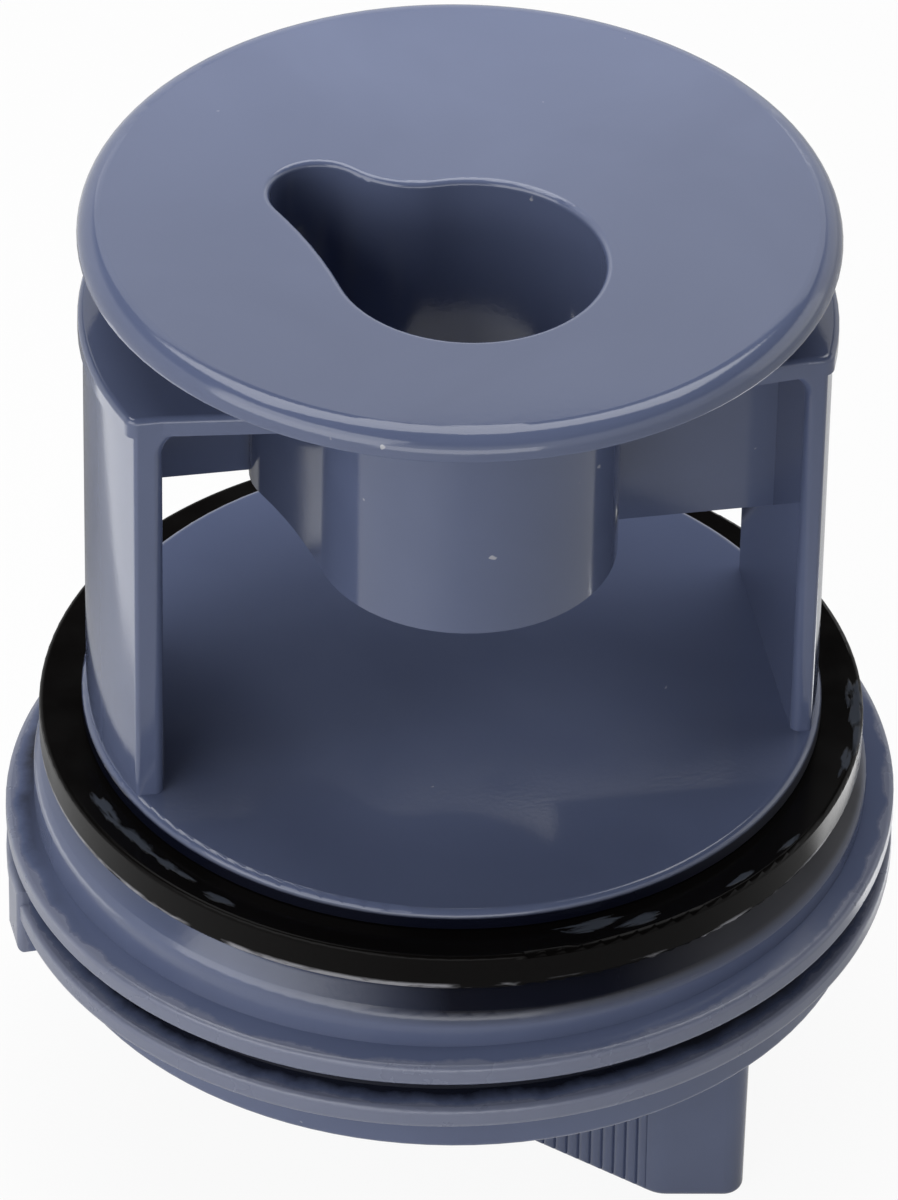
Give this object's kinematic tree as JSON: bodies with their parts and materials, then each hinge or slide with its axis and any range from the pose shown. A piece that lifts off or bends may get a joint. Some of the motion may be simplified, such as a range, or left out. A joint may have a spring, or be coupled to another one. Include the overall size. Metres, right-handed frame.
{
  "type": "washing machine drain pump filter",
  "caption": "Screw-in drain pump filter: ribbed grip bar, threaded cap with stop lug, rubber seal, and an open cage with a comma-shaped tube under a round top disc.",
  "frame": {"origin": "on the screw axis, at the flat end of the grip bar that the filter stands on", "axes": "+Z along the screw axis from the grip to the top disc, +X through the two posts of the cage"},
  "size_m": [0.0654, 0.0653, 0.0786],
  "materials": {
    "body_plastic": "glossy moulded",
    "seal_rubber": "smooth, slightly greased"
  },
  "bodies": {
    "root": {"filter_body": "body_plastic", "sealing_ring": "seal_rubber"}
  },
  "joints": []
}
